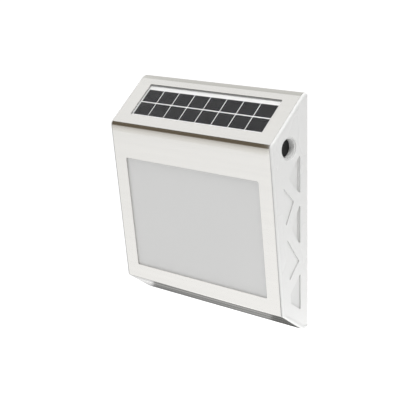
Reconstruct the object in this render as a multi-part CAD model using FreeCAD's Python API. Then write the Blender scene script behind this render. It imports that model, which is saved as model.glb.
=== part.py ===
import FreeCAD, Part
import math
import os

# Solar house number light: a bent steel wrap closed by two moulded end caps, with a frosted panel in its
# front, a solar panel in its slope and a push button in its right side.
# Millimetres. X runs to the right, Y into the wall and Z up. The pieces are drawn from the foot of the
# wall plane, and the export moves the origin to the middle of the two wall keyholes.

# Side profile, measured between the sharp corners of the wrap
overall_width = 180.0
chin_height = 18.9
front_rise = 144.0
slope_rise = 35.8
foot_depth = 7.4
chin_depth = 34.3
brow_depth = 47.9
top_depth = 5.0
foot_bend = 8.0
chin_bend = 2.0
brow_bend = 5.0
top_bend = 8.5
back_corner = 1.9

# Steel wrap
steel_thickness = 0.6
back_flange = 5.0
seam_gap = 0.2

# Clearances
fit_gap = 0.2
slide_gap = 0.3

# Windows in the steel, as borders left around them
front_side_border = 15.4
front_sill = 13.2
front_head = 30.5
front_corner = 1.5
slope_side_border = 16.6
slope_sill = 11.6
slope_head = 9.1
slope_corner = 0.8

# End caps
cap_rim = 1.9
cap_round = 1.75
cap_skin = 3.0
rim_width = 2.5
rim_proud = 0.5
rim_inner_round = 0.6
spigot_length = 7.0
spigot_wall = 1.8
spigot_round = 0.8

# Truss relief on the caps
relief_corner = 0.6
front_chord = 12.3
back_chord = 10.2
sill_chord = 13.6
web_width = 8.8
blunt_width = 1.5
# Depths of the recesses from the top down: deep along the back chord, shallow elsewhere
relief_depths = [3.0, 0.9, 2.9, 0.9, 1.1]
# Ends of the zigzag webs: inset from the wall or the front edge, and share of the way from chin to brow
back_nodes = [(10.3, 0.961), (13.2, 0.659), (6.2, 0.292)]
front_nodes = [(13.7, 0.789), (14.4, 0.490), (10.4, 0.144)]

# Switch well and button
button_setback = 23.4
button_drop = 5.7
well_radius = 9.4
well_depth = 7.6
well_round = 0.5
step_depth = 1.8
step_width = 1.3
lip_width = 0.4
lip_thickness = 1.4
button_rise = 1.3
button_dome = 0.5
button_travel = 2.0
flange_width = 1.0
flange_thickness = 1.4
can_wall = 1.6
socket_radius = 2.0
socket_wall = 2.0
socket_length = 5.0
socket_floor = 0.5
plunger_reach = 2.5
switch_size = 8.5
switch_length = 7.5
switch_floor = 1.5
switch_board_thickness = 1.2
ear_offset = 1.4
ear_drop_angle = 20.0
ear_radius = 2.6
ear_length = 8.0
pin_radius = 0.4
pin_spacing = 5.0
pin_length = 2.4
switch_spring_wire = 0.35
switch_spring_turns = 3

# Screws
screw_radius = 1.4
screw_head_radius = 2.7
screw_head_height = 1.7
screw_length = 11.0
screw_hole_gap = 0.25
small_screw_radius = 0.8
small_screw_head_radius = 1.6
small_screw_head_height = 1.1
small_screw_length = 5.0
boss_wall = 2.1
boss_inset = 5.7
lower_screw_height = 27.4
upper_screw_drop = 23.3

# Back housing
back_depth = 3.4
keyhole_drop = 55.3
keyhole_spacing = 100.0
keyhole_entry_radius = 4.5
keyhole_slot_radius = 2.25
keyhole_slot_length = 9.0
keyhole_room = 4.6
housing_wall = 1.5
tray_post_radius = 3.0
tray_post_inset = 16.0
tray_post_spacing = 124.0

# Battery bay, cell, contacts and door
cell_radius = 7.1
cell_length = 49.2
nub_radius = 2.7
nub_length = 1.3
bay_height = 68.4
cell_play = 0.5
contact_thickness = 0.4
contact_size = 11.0
contact_tab = 3.0
contact_spring_length = 5.0
contact_spring_wire = 0.6
contact_spring_turns = 4
contact_spring_wide = 4.6
contact_spring_narrow = 2.6
door_recess = 0.1
door_thickness = 1.8
door_ledge = 2.6
door_corner = 2.0
door_screw_land = 8.0
door_tab_width = 5.0
door_tab_length = 1.6
door_tab_thickness = 0.8
seal_thickness = 0.4
seal_width = 1.4

# Diffuser and light tray
window_overlap = 5.0
diffuser_gasket_thickness = 0.8
gasket_setback = 1.0
diffuser_thickness = 2.0
tray_wall = 1.6
tray_bay_gap = 2.4
tray_corner = 3.0
led_board_thickness = 1.0
led_board_inset = 1.5
led_board_margin = 8.0
led_count = 6
led_length = 3.5
led_width = 2.8
led_height = 1.9

# Solar panel
solar_overlap = 3.4
solar_gasket_thickness = 0.4
solar_cover_thickness = 0.4
laminate_gap = 0.05
solar_cell_thickness = 0.2
solar_board_thickness = 1.2
cell_columns = 8
cell_rows = 2
cell_border_side = 1.7
cell_border_low = 2.1
cell_border_high = 5.2
cell_column_gap = 0.65
cell_row_gap = 1.0
ribbon_width = 0.5
carrier_thickness = 2.0
carrier_frame = 9.0
carrier_lip = 2.0
ledge_reach = 5.5
ledge_thickness = 2.0
ledge_inset = 8.0

# Control board
board_width = 50.0
board_height = 32.0
board_thickness = 1.2
board_post_height = 4.0
board_post_radius = 2.2
board_post_inset = 3.5
board_bay_gap = 12.0
chip_length = 5.0
chip_width = 4.0
chip_height = 1.5
coil_radius = 3.5
coil_height = 5.0
coil_flange = 0.8
coil_groove = 0.9
capacitor_radius = 2.5
capacitor_height = 7.0
connector_width = 6.0
connector_height = 6.0
connector_depth = 6.0
connector_spacing = 14.0
connector_edge = 1.0

# Leads
lead_radius = 0.6
lead_sides = 8
lead_spacing = 2.2
lead_arc_share = 0.45
lead_rise = 8.0
lead_slack = 4.0
lead_pad_inset = 6.0
spring_sides = 6


# Shared geometry helpers

def vec(x, y, z):
    return FreeCAD.Vector(x, y, z)


def line_through(start, end, shift=0.0):
    """Line in the (y, z) plane, moved to its left by the shift, as a point and a direction."""
    length = math.dist(start, end)
    along = ((end[0] - start[0]) / length, (end[1] - start[1]) / length)
    point = (start[0] - along[1] * shift, start[1] + along[0] * shift)
    return point, along


def crossing(first, second):
    """Point where two lines of the (y, z) plane meet."""
    (p, a), (q, b) = first, second
    reach = ((q[0] - p[0]) * b[1] - (q[1] - p[1]) * b[0]) / (a[0] * b[1] - a[1] * b[0])
    return p[0] + a[0] * reach, p[1] + a[1] * reach


def inset(points, distances):
    """Polygon with each side moved inwards by its own distance. Side i starts at point i."""
    following = points[1:] + points[:1]
    sides = [line_through(start, end, shift) for start, end, shift in zip(points, following, distances)]
    return [crossing(sides[i - 1], sides[i]) for i in range(len(sides))]


def corner_cut(before, corner, after, radius):
    """Length that a rounded corner takes off its two sides, and half the angle between them."""
    first = vec(0, before[0] - corner[0], before[1] - corner[1])
    second = vec(0, after[0] - corner[0], after[1] - corner[1])
    half = first.getAngle(second) / 2
    return radius / math.tan(half), half


def prism(points, radii, x_start, x_end):
    """Solid of a (y, z) outline with a radius at each corner, drawn out along X."""
    arcs = []
    for i, (corner, radius) in enumerate(zip(points, radii)):
        before = points[i - 1]
        after = points[(i + 1) % len(points)]
        cut, half = corner_cut(before, corner, after, radius)
        apex = vec(x_start, *corner)
        to_before = (vec(x_start, *before) - apex).normalize()
        to_after = (vec(x_start, *after) - apex).normalize()
        inward = (to_before + to_after).normalize()
        middle = apex + inward * (radius / math.sin(half) - radius)
        arcs.append(Part.Arc(apex + to_before * cut, middle, apex + to_after * cut))
    edges = []
    for previous, arc in zip(arcs[-1:] + arcs[:-1], arcs):
        edges.append(Part.LineSegment(previous.EndPoint, arc.StartPoint).toShape())
        edges.append(arc.toShape())
    return Part.Face(Part.Wire(edges)).extrude(vec(x_end - x_start, 0, 0))


def face_frame(start, end):
    """Frame of a sheet face: local X across it, local Z along it, local Y inwards."""
    turn = math.degrees(math.atan2(start[0] - end[0], end[1] - start[1]))
    return FreeCAD.Placement(vec(0, *start), FreeCAD.Rotation(vec(1, 0, 0), turn))


def slab(frame, x_range, along, depth, corner=0.0):
    """Plate parallel to a sheet face, with rounded corners where a radius is given."""
    size = [high - low for low, high in (x_range, depth, along)]
    plate = Part.makeBox(*size, vec(x_range[0], depth[0], along[0]))
    if corner:
        upright = [edge for edge in plate.Edges if abs(edge.tangentAt(edge.FirstParameter).y) > 0.9]
        plate = plate.makeFillet(corner, upright)
    plate.Placement = frame
    return plate


def rod_y(x, z, radius, depth):
    """Round bar square to the wall, between two depths under the wall plane."""
    return Part.makeCylinder(radius, depth[1] - depth[0], vec(x, -depth[0], z), vec(0, -1, 0))


def rod_x(y, z, radius, x_start, x_end):
    """Round bar across the light."""
    return Part.makeCylinder(radius, x_end - x_start, vec(x_start, y, z), vec(1, 0, 0))


def turned(profile, y, z):
    """Solid of revolution about a line across the light, from (x, radius) points."""
    points = [vec(x, y, z + radius) for x, radius in profile]
    face = Part.Face(Part.makePolygon(points + points[:1]))
    return face.revolve(vec(0, y, z), vec(1, 0, 0), 360)


def both_ways(half):
    return -half, half


def screw_y(x, z, head_depth, radius, head_radius, head_height, length):
    """Pan head screw driven in from the wall side, with its head starting at a depth."""
    head = rod_y(x, z, head_radius, (head_depth, head_depth + head_height))
    return head.fuse(rod_y(x, z, radius, (head_depth, head_depth + head_height + length))).removeSplitter()


def arc_at(start, corner, end, share):
    """Largest arc that a corner of a route takes, and its radius."""
    back = start - corner
    onward = end - corner
    cut = share * min(back.Length, onward.Length)
    back.normalize()
    onward.normalize()
    half = back.getAngle(onward) / 2
    radius = cut * math.tan(half)
    middle = corner + (back + onward).normalize() * (radius / math.sin(half) - radius)
    return Part.Arc(corner + back * cut, middle, corner + onward * cut), radius


def wire_section(radius, sides, start, way):
    """Many-sided outline of a thin round wire, square to its start."""
    turn = FreeCAD.Rotation(vec(0, 0, 1), way)
    steps = [2 * math.pi * i / sides for i in range(sides)]
    points = [start + turn.multVec(vec(radius * math.cos(a), radius * math.sin(a), 0)) for a in steps]
    return Part.makePolygon(points + points[:1])


def lead(points):
    """Insulated lead along a route of straight runs joined by arcs."""
    edges = []
    radii = []
    at = points[0]
    for start, corner, end in zip(points, points[1:], points[2:]):
        arc, radius = arc_at(start, corner, end, lead_arc_share)
        edges.append(Part.LineSegment(at, arc.StartPoint).toShape())
        edges.append(arc.toShape())
        radii.append(radius)
        at = arc.EndPoint
    edges.append(Part.LineSegment(at, points[-1]).toShape())
    path = Part.Wire(edges)
    section = wire_section(lead_radius, lead_sides, points[0], points[1] - points[0])
    tube = path.makePipeShell([section], True, False)
    print("lead bend radii", [round(radius, 1) for radius in radii])
    return tube


def lead_pair(points, across):
    """Two leads side by side."""
    half = across * (lead_spacing / 2)
    return Part.makeCompound([lead([point + half * side for point in points]) for side in (-1, 1)])


def biarc(start, start_way, end, end_way):
    """Two tangent arcs that join two points with given directions."""
    chord = end - start
    ways = start_way + end_way
    spread = 2 * (1 - start_way.dot(end_way))
    reach = (math.sqrt(chord.dot(ways) ** 2 + spread * chord.dot(chord)) - chord.dot(ways)) / spread
    joint = (start + end + (start_way - end_way) * reach) * 0.5
    arcs = []
    for first, knee, last in ((start, start + start_way * reach, joint), (joint, end - end_way * reach, end)):
        middle = (first + last) * 0.5
        turn = math.pi - (first - knee).getAngle(last - knee)
        to_middle = (middle - knee).normalize()
        arcs.append(Part.Arc(first, knee + to_middle * (reach * math.tan(turn / 4)), last).toShape())
    return arcs


def coil(y, z, x_start, x_end, wide, narrow, turns, wire):
    """Spring wound about a line across the light, its radius going evenly from wide to narrow."""
    quarters = 4 * turns

    def point(step):
        angle = step * math.pi / 2
        share = step / quarters
        radius = wide + (narrow - wide) * share
        x = x_start + (x_end - x_start) * share
        return vec(x, y + radius * math.cos(angle), z + radius * math.sin(angle))

    def way(step):
        small = 0.001
        return (point(step + small) - point(step - small)).normalize()

    edges = []
    for step in range(quarters):
        edges += biarc(point(step), way(step), point(step + 1), way(step + 1))
    section = wire_section(wire / 2, spring_sides, point(0), way(0))
    spring = Part.Wire(edges).makePipeShell([section], True, False)
    samples = [point(step / 8) for step in range(8 * quarters)]
    least = min((a - b).Length for i, a in enumerate(samples) for b in samples[i + 16:])
    print("spring least gap to itself", round(least - wire, 2))
    return spring


# Places worked out from the driving sizes

brow_height = chin_height + front_rise
back_height = brow_height + slope_rise
top = (-top_depth, back_height)
brow = (-brow_depth, brow_height)
chin = (-chin_depth, chin_height)
foot = (-foot_depth, 0)
corners = [(0, back_height), top, brow, chin, foot, (0, 0)]
bends = [back_corner, top_bend, brow_bend, chin_bend, foot_bend, back_corner]
wall = FreeCAD.Placement()
front = face_frame(chin, brow)
slope = face_frame(brow, top)
front_length = math.dist(chin, brow)
slope_length = math.dist(brow, top)

outer_x = overall_width / 2
face_x = outer_x - rim_proud
shoulder_x = outer_x - cap_rim
spigot_x = shoulder_x - spigot_length
inner_half = spigot_x - slide_gap
wrap_inset = steel_thickness + fit_gap
flange_low = back_corner + back_flange
flange_high = back_height - flange_low

front_half = outer_x - front_side_border
front_window = (front_sill, front_length - front_head)
slope_half = outer_x - slope_side_border
slope_window = (slope_sill, slope_length - slope_head)

keyhole_height = back_height - keyhole_drop
boss_x = shoulder_x - boss_inset
boss_front = back_depth + fit_gap
boss_heights = (lower_screw_height, back_height - upper_screw_drop)
boss_radius = screw_radius + boss_wall
screw_head_depth = back_depth - housing_wall - screw_head_height
screw_tip = screw_head_depth + screw_head_height + screw_length
screw_bottom = screw_tip + slide_gap

bay_half_length = (cell_length + nub_length + contact_spring_length) / 2 + contact_thickness
bay_half_height = cell_radius + cell_play
bay_span = (bay_height - bay_half_height, bay_height + bay_half_height)
bay_top = bay_span[1] + housing_wall
ledge_depth = door_recess + door_thickness + seal_thickness
cell_depth = ledge_depth + cell_play + cell_radius
bay_floor = cell_depth + cell_radius + cell_play
bay_front = bay_floor + housing_wall
door_left = bay_half_length + door_ledge
door_right = bay_half_length + door_ledge + door_screw_land
door_half_height = bay_half_height + door_ledge
door_screw_x = bay_half_length + housing_wall + boss_radius
door_head_height = door_thickness / 2
door_screw_bottom = door_recess + door_head_height + screw_length + slide_gap

diffuser_outer = steel_thickness + diffuser_gasket_thickness
tray_outer = diffuser_outer + diffuser_thickness
bay_edge = front.inverse().multVec(vec(0, -bay_front, bay_span[0] - housing_wall))
tray_inner = bay_edge.y - tray_bay_gap
tray_floor = tray_inner - tray_wall
diffuser_span = (front_window[0] - window_overlap, front_window[1] + window_overlap)
led_board_top = diffuser_span[1] - tray_wall
led_board_low = led_board_top - led_board_thickness
led_board_depths = (tray_outer + led_board_inset, tray_floor - led_board_inset)

cover_outer = steel_thickness + solar_gasket_thickness
cover_inner = cover_outer + solar_cover_thickness
cells_outer = cover_inner + laminate_gap
solar_board_outer = cells_outer + solar_cell_thickness
carrier_outer = solar_board_outer + solar_board_thickness
carrier_inner = carrier_outer + carrier_thickness
solar_span = (slope_window[0] - solar_overlap, slope_window[1] + solar_overlap)
solar_half = slope_half + solar_overlap

button_y = -(brow_depth - button_setback)
button_z = brow_height - button_drop
lip_outer_x = outer_x - well_depth
lip_inner_x = lip_outer_x - lip_thickness
bore_radius = well_radius - step_width
lip_radius = bore_radius - lip_width
button_radius = lip_radius - slide_gap
flange_radius = button_radius + flange_width
guide_radius = flange_radius + slide_gap
can_radius = guide_radius + can_wall
flange_front_x = lip_inner_x - slide_gap
flange_back_x = flange_front_x - flange_thickness
socket_end_x = flange_back_x - socket_length
socket_floor_x = flange_back_x - socket_floor
switch_front_x = socket_end_x - button_travel - slide_gap
switch_back_x = switch_front_x - switch_length
switch_board_x = switch_back_x - switch_board_thickness
plunger_radius = socket_radius - fit_gap / 2
plunger_end_x = switch_front_x - plunger_reach
switch_bore_x = switch_back_x + switch_floor
ear_reach = can_radius + ear_offset
ear_places = [
    (button_y + side * ear_reach * math.cos(math.radians(ear_drop_angle)),
     button_z - ear_reach * math.sin(math.radians(ear_drop_angle)))
    for side in (-1, 1)
]

board_low = bay_top + board_bay_gap
board_high = board_low + board_height
board_back = back_depth + board_post_height
board_front = board_back + board_thickness
board_post_places = [
    (side * (board_width / 2 - board_post_inset), height)
    for side in (-1, 1)
    for height in (board_low + board_post_inset, board_high - board_post_inset)
]
connector_low = board_high - connector_height - connector_edge
connector_middle = board_front + connector_depth / 2


# Steel wrap

def wrap_solid(shift, back, x_start, x_end):
    """Solid of the side profile, moved in by a shift on all sides but the back, and cut off at a depth."""
    outline = inset(corners, [shift] * 5 + [0.0])
    solid = prism(outline, [max(bend - shift, spigot_round) for bend in bends], x_start, x_end)
    if back:
        behind = slab(wall, both_ways(outer_x), (-back_height, 2 * back_height), (-back, back))
        solid = solid.cut(behind)
    return solid


def steel_cover():
    """Sheet bent over the top, slope, front and underside, with a flange turned in along each back edge."""
    half = shoulder_x - seam_gap
    bore = wrap_solid(steel_thickness, steel_thickness, *both_ways(outer_x))
    sheet = wrap_solid(0.0, 0.0, *both_ways(half)).cut(bore)
    through = (-steel_thickness, 2 * steel_thickness)
    openings = [
        slab(wall, both_ways(outer_x), (flange_low, flange_high), both_ways(2 * steel_thickness)),
        slab(front, both_ways(front_half), front_window, through, front_corner),
        slab(slope, both_ways(slope_half), slope_window, through, slope_corner),
    ]
    return sheet.cut(openings)


# End caps

def web_edge(nodes, index, side):
    """Upper (1) or lower (-1) edge of one zigzag web."""
    start, end = nodes[index], nodes[index + 1]
    left_is_up = end[0] > start[0]
    shift = side * web_width / 2
    return line_through(start, end, shift if left_is_up else -shift)


def truss_recesses():
    """Bars in the place of the recesses between the chords and the webs, from the top down."""
    front_line = line_through(brow, chin)
    nodes = []
    for (back_inset, back_share), (front_inset, front_share) in zip(back_nodes, front_nodes):
        nodes.append((-back_inset, chin_height + back_share * front_rise))
        level = chin_height + front_share * front_rise
        edge = crossing(front_line, ((0, level), (1, 0)))
        nodes.append((edge[0] + front_inset, level))
    back_line = line_through((-back_chord, 0), (-back_chord, back_height))
    blunt_line = line_through((-back_chord - blunt_width, 0), (-back_chord - blunt_width, back_height))
    chord_line = line_through(brow, chin, front_chord)
    sill_line = line_through(chin, foot, sill_chord)
    outlines = []
    for i in range(len(nodes) - 2):
        upper = web_edge(nodes, i, -1)
        lower = web_edge(nodes, i + 1, 1)
        apex = crossing(upper, lower)
        if i % 2 == 0:
            high = crossing(blunt_line, upper)
            low = crossing(lower, blunt_line)
            outlines.append([(-back_chord, high[1]), high, apex, low, (-back_chord, low[1])])
        else:
            outlines.append([crossing(chord_line, upper), apex, crossing(lower, chord_line)])
    last = web_edge(nodes, len(nodes) - 2, -1)
    outlines.append([
        crossing(back_line, last), crossing(last, chord_line),
        crossing(chord_line, sill_line), crossing(sill_line, back_line),
    ])
    return [
        prism(points, [relief_corner] * len(points), face_x - depth, outer_x + 1)
        for points, depth in zip(outlines, relief_depths)
    ]


def face_recess():
    """Room that sets the face of a cap back inside its rim. It is open towards the wall."""
    outline = inset(corners, [rim_width] * 5 + [-1.0])
    radii = [max(bend - rim_width, rim_inner_round) for bend in bends]
    return prism(outline, radii, face_x, outer_x + 1)


def screw_boss(height):
    """Half round boss on the shoulder of a cap, with the pilot hole of a back screw."""
    depths = (boss_front, screw_bottom + housing_wall)
    heights = (height - boss_radius, height + boss_radius)
    block = slab(wall, (boss_x, shoulder_x), heights, (-depths[1], -depths[0]))
    return rod_y(boss_x, height, boss_radius, depths).fuse(block)


def end_cap_blank():
    """Right-hand cap without its switch well: rimmed plate, truss relief, spigot, bosses and ledge."""
    plate = wrap_solid(0.0, 0.0, shoulder_x, outer_x)
    rim = [edge for edge in plate.Edges if edge.BoundBox.XMin > outer_x - 0.01]
    plate = plate.makeFillet(cap_round, rim)
    spigot = wrap_solid(wrap_inset, boss_front, spigot_x, shoulder_x)
    room_inset = wrap_inset + spigot_wall
    room = wrap_solid(room_inset, boss_front + spigot_wall, spigot_x - 1, shoulder_x - cap_skin)
    ledge = slab(
        slope, (inner_half - ledge_reach, shoulder_x),
        (solar_span[0] + ledge_inset, solar_span[1] - ledge_inset),
        (carrier_inner, carrier_inner + ledge_thickness),
    )
    bosses = [screw_boss(height) for height in boss_heights]
    cap = plate.fuse([spigot.cut(room), ledge] + bosses)
    pilot_radius = screw_radius + fit_gap / 2
    pilots = [rod_y(boss_x, height, pilot_radius, (boss_front, screw_bottom)) for height in boss_heights]
    return cap.cut([face_recess()] + truss_recesses() + pilots).removeSplitter()


def left_end_cap():
    return end_cap_blank().mirror(vec(0, 0, 0), vec(1, 0, 0))


def right_end_cap():
    """Cap with a stepped round well, a lip that keeps the button in and a can around the switch."""
    can = rod_x(button_y, button_z, can_radius, switch_back_x, shoulder_x)
    ears = [rod_x(y, z, ear_radius, switch_back_x, switch_back_x + ear_length) for y, z in ear_places]
    pilots = [
        rod_x(y, z, small_screw_radius + fit_gap / 2, switch_back_x, switch_back_x + small_screw_length)
        for y, z in ear_places
    ]
    mouth_room = rod_x(button_y, button_z, well_radius, outer_x - step_depth, outer_x + 1)
    well = rod_x(button_y, button_z, bore_radius, lip_outer_x, outer_x)
    lip_bore = rod_x(button_y, button_z, lip_radius, lip_inner_x, lip_outer_x)
    guide = rod_x(button_y, button_z, guide_radius, switch_back_x, lip_inner_x)
    cuts = [mouth_room, well, lip_bore, guide] + pilots
    cap = end_cap_blank().fuse([can] + ears).cut(cuts).removeSplitter()
    mouth = [
        edge for edge in cap.Edges
        if abs(edge.BoundBox.XMin - face_x) < 0.01 and isinstance(edge.Curve, Part.Circle)
        and abs(edge.Curve.Radius - well_radius) < 0.01
    ]
    return cap.makeFillet(well_round, mouth)


# Switch

def switch_button():
    """Round domed button with a keeper flange and a socket for the switch plunger."""
    face_x = lip_outer_x + button_rise
    profile = [
        (face_x, button_radius), (flange_front_x, button_radius), (flange_front_x, flange_radius),
        (flange_back_x, flange_radius), (flange_back_x, socket_radius + socket_wall),
        (socket_end_x, socket_radius + socket_wall), (socket_end_x, socket_radius),
        (socket_floor_x, socket_radius), (socket_floor_x, 0), (face_x, 0),
    ]
    body = turned(profile, button_y, button_z)
    dome_radius = (button_radius ** 2 + button_dome ** 2) / (2 * button_dome)
    ball = Part.makeSphere(dome_radius, vec(face_x + button_dome - dome_radius, button_y, button_z))
    cap = ball.common(rod_x(button_y, button_z, button_radius, face_x, outer_x))
    return body.fuse(cap).removeSplitter()


def switch_plunger():
    return rod_x(button_y, button_z, plunger_radius, plunger_end_x, socket_floor_x)


def switch_spring():
    wire_half = switch_spring_wire / 2
    radius = plunger_radius - wire_half
    ends = (switch_bore_x + wire_half, plunger_end_x - wire_half)
    return coil(button_y, button_z, *ends, radius, radius, switch_spring_turns, switch_spring_wire)


def pin_places():
    return [(button_y, button_z + side * pin_spacing / 2) for side in (-1, 1)]


def switch_body():
    """Latching push switch with a bore for its plunger and two pins through the board."""
    half = switch_size / 2
    corner = vec(switch_back_x, button_y - half, button_z - half)
    body = Part.makeBox(switch_length, switch_size, switch_size, corner)
    bore = rod_x(button_y, button_z, socket_radius + fit_gap, switch_bore_x, switch_front_x)
    pins = [rod_x(y, z, pin_radius, switch_back_x - pin_length, switch_back_x) for y, z in pin_places()]
    return body.cut(bore).fuse(pins)


def switch_board():
    """Round board with two ears, which closes the can behind the switch."""
    board = rod_x(button_y, button_z, can_radius, switch_board_x, switch_back_x)
    board = board.fuse([rod_x(y, z, ear_radius, switch_board_x, switch_back_x) for y, z in ear_places])
    holes = [rod_x(y, z, pin_radius + fit_gap, switch_board_x, switch_back_x) for y, z in pin_places()]
    hole_radius = small_screw_radius + screw_hole_gap
    holes += [rod_x(y, z, hole_radius, switch_board_x, switch_back_x) for y, z in ear_places]
    return board.cut(holes).removeSplitter()


def switch_board_screws():
    screws = []
    for y, z in ear_places:
        head = rod_x(y, z, small_screw_head_radius, switch_board_x - small_screw_head_height, switch_board_x)
        shank_end = switch_board_x + small_screw_length
        screws.append(head.fuse(rod_x(y, z, small_screw_radius, switch_board_x, shank_end)).removeSplitter())
    return Part.makeCompound(screws)


# Back housing

def keyhole(x):
    """Closed pocket behind one keyhole, and the cuts that make the keyhole and its room."""
    slot_top = keyhole_height + keyhole_slot_length
    entry_room = keyhole_entry_radius + slide_gap
    room_depth = back_depth + keyhole_room
    low = keyhole_height - entry_room
    high = slot_top + entry_room
    wall_half = entry_room + housing_wall
    pocket = slab(
        wall, (x - wall_half, x + wall_half), (low - housing_wall, high + housing_wall),
        (-room_depth - housing_wall, -back_depth),
    )
    room = slab(wall, (x - entry_room, x + entry_room), (low, high), (-room_depth, -back_depth))
    entry = rod_y(x, keyhole_height, keyhole_entry_radius, (0, back_depth))
    slot = slab(
        wall, (x - keyhole_slot_radius, x + keyhole_slot_radius), (keyhole_height, slot_top),
        (-back_depth, 0),
    )
    slot_end = rod_y(x, slot_top, keyhole_slot_radius, (0, back_depth))
    return pocket, [room, entry, slot, slot_end]


def tray_posts():
    """Posts that press the light tray forwards, trimmed to its slanted floor."""
    ends = (diffuser_span[0] + tray_post_inset, diffuser_span[1] - tray_post_inset)
    heights = [front.multVec(vec(0, tray_inner, along)).z for along in ends]
    places = [(side * tray_post_spacing / 2, height) for side in (-1, 1) for height in heights]
    posts = [rod_y(x, z, tray_post_radius, (back_depth, brow_depth)) for x, z in places]
    ahead = slab(front, both_ways(outer_x), (-back_height, back_height), (-brow_depth, tray_inner + fit_gap))
    return [post.cut(ahead) for post in posts]


def back_housing():
    """Moulded back plate with keyholes, battery bay, door ledge, posts and counterbored screw holes."""
    half = shoulder_x - fit_gap
    edge = wrap_solid(wrap_inset, wrap_inset, *both_ways(half))
    plate = edge.common(slab(wall, both_ways(outer_x), (0, back_height), (-back_depth, 0)))
    pad = slab(wall, both_ways(half), (flange_low + fit_gap, flange_high - fit_gap), (-back_depth, 0))
    bay_walls = slab(
        wall, both_ways(bay_half_length + housing_wall), (bay_span[0] - housing_wall, bay_top),
        (-bay_front, -back_depth),
    )
    door_boss = rod_y(door_screw_x, bay_height, boss_radius, (back_depth, door_screw_bottom + housing_wall))
    board_posts = [rod_y(x, z, board_post_radius, (back_depth, board_back)) for x, z in board_post_places]
    keyholes = [keyhole(side * keyhole_spacing / 2) for side in (-1, 1)]
    added = [pad, bay_walls, door_boss] + board_posts + tray_posts() + [pocket for pocket, cuts in keyholes]
    cavity = slab(wall, both_ways(bay_half_length), bay_span, (-bay_floor, 0))
    recess = slab(
        wall, (-door_left - fit_gap, door_right + fit_gap),
        (bay_height - door_half_height - fit_gap, bay_height + door_half_height + fit_gap),
        (-ledge_depth, 0), door_corner + fit_gap,
    )
    tab_slot = slab(
        wall, (-door_left - door_tab_length - fit_gap, -door_left),
        (bay_height - door_tab_width - fit_gap, bay_height + door_tab_width + fit_gap),
        (-ledge_depth, -door_recess - door_thickness + door_tab_thickness + fit_gap),
    )
    pilot_depths = (ledge_depth, door_screw_bottom)
    door_pilot = rod_y(door_screw_x, bay_height, screw_radius + fit_gap / 2, pilot_depths)
    tab_holes = [
        slab(
            wall, (side * (bay_half_length + housing_wall / 2) - housing_wall,
                   side * (bay_half_length + housing_wall / 2) + housing_wall),
            (bay_height - contact_tab / 2 - fit_gap, bay_height + contact_tab / 2 + fit_gap),
            (-bay_floor + contact_thickness, -bay_floor + 3 * contact_thickness + 2 * fit_gap),
        )
        for side in (-1, 1)
    ]
    pilot_radius = small_screw_radius + fit_gap / 2
    board_pilots = [rod_y(x, z, pilot_radius, (housing_wall, board_back)) for x, z in board_post_places]
    cuts = [cavity, recess, tab_slot, door_pilot] + tab_holes + board_pilots
    for pocket, keyhole_cuts in keyholes:
        cuts += keyhole_cuts
    for side in (-1, 1):
        for height in boss_heights:
            cuts.append(rod_y(side * boss_x, height, screw_radius + screw_hole_gap, (0, back_depth)))
            head_room = screw_head_depth + screw_head_height
            cuts.append(rod_y(side * boss_x, height, screw_head_radius + fit_gap, (0, head_room)))
    return plate.fuse(added).cut(cuts).removeSplitter()


def back_screws():
    sizes = (screw_head_depth, screw_radius, screw_head_radius, screw_head_height, screw_length)
    return Part.makeCompound([screw_y(side * boss_x, z, *sizes) for side in (-1, 1) for z in boss_heights])


# Battery

def battery_door():
    """Flush door with two hidden tabs at one end and a screw at the other."""
    inner = door_recess + door_thickness
    heights = (bay_height - door_half_height, bay_height + door_half_height)
    door = slab(wall, (-door_left, door_right), heights, (-inner, -door_recess), door_corner)
    tab = slab(
        wall, (-door_left - door_tab_length, -door_left + door_corner),
        (bay_height - door_tab_width, bay_height + door_tab_width), (-inner, -inner + door_tab_thickness),
    )
    hole = rod_y(door_screw_x, bay_height, screw_radius + screw_hole_gap, (0, inner))
    head_depth = door_recess + door_head_height
    head_room = rod_y(door_screw_x, bay_height, screw_head_radius + fit_gap, (0, head_depth))
    return door.fuse(tab).cut([hole, head_room]).removeSplitter()


def battery_door_seal():
    """Foam ring between the door and its ledge."""
    depths = (-ledge_depth, -ledge_depth + seal_thickness)
    ring_span = (bay_span[0] - seal_width, bay_span[1] + seal_width)
    outer = slab(wall, both_ways(bay_half_length + seal_width), ring_span, depths)
    inner = slab(wall, both_ways(bay_half_length), bay_span, depths)
    return outer.cut(inner)


def battery_door_screw():
    """Low-headed screw of the door."""
    sizes = (screw_radius, screw_head_radius, door_head_height, screw_length)
    return screw_y(door_screw_x, bay_height, door_recess, *sizes)


def battery_cell():
    """Rechargeable AA cell: a can and its positive nub."""
    start = bay_half_length - contact_thickness - nub_length - cell_length
    can = rod_x(-cell_depth, bay_height, cell_radius, start, start + cell_length)
    nub = rod_x(-cell_depth, bay_height, nub_radius, start + cell_length, start + cell_length + nub_length)
    return can.fuse(nub)


def contact_plate(side):
    """Sprung steel plate at one end of the bay, with a solder tab through the bay wall."""
    inner_x = side * (bay_half_length - contact_thickness)
    outer_end = side * bay_half_length
    tab_end = side * (bay_half_length + housing_wall + contact_tab)
    half = contact_size / 2
    depth_end = bay_floor - contact_thickness - fit_gap
    plate = slab(
        wall, sorted((inner_x, outer_end)), (bay_height - half, bay_height + half),
        (-depth_end, -cell_depth + half),
    )
    tab = slab(
        wall, sorted((inner_x, tab_end)), (bay_height - contact_tab / 2, bay_height + contact_tab / 2),
        (-depth_end, -depth_end + contact_thickness),
    )
    return plate.fuse(tab).removeSplitter()


def positive_contact():
    return contact_plate(1)


def negative_contact():
    return contact_plate(-1)


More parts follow.
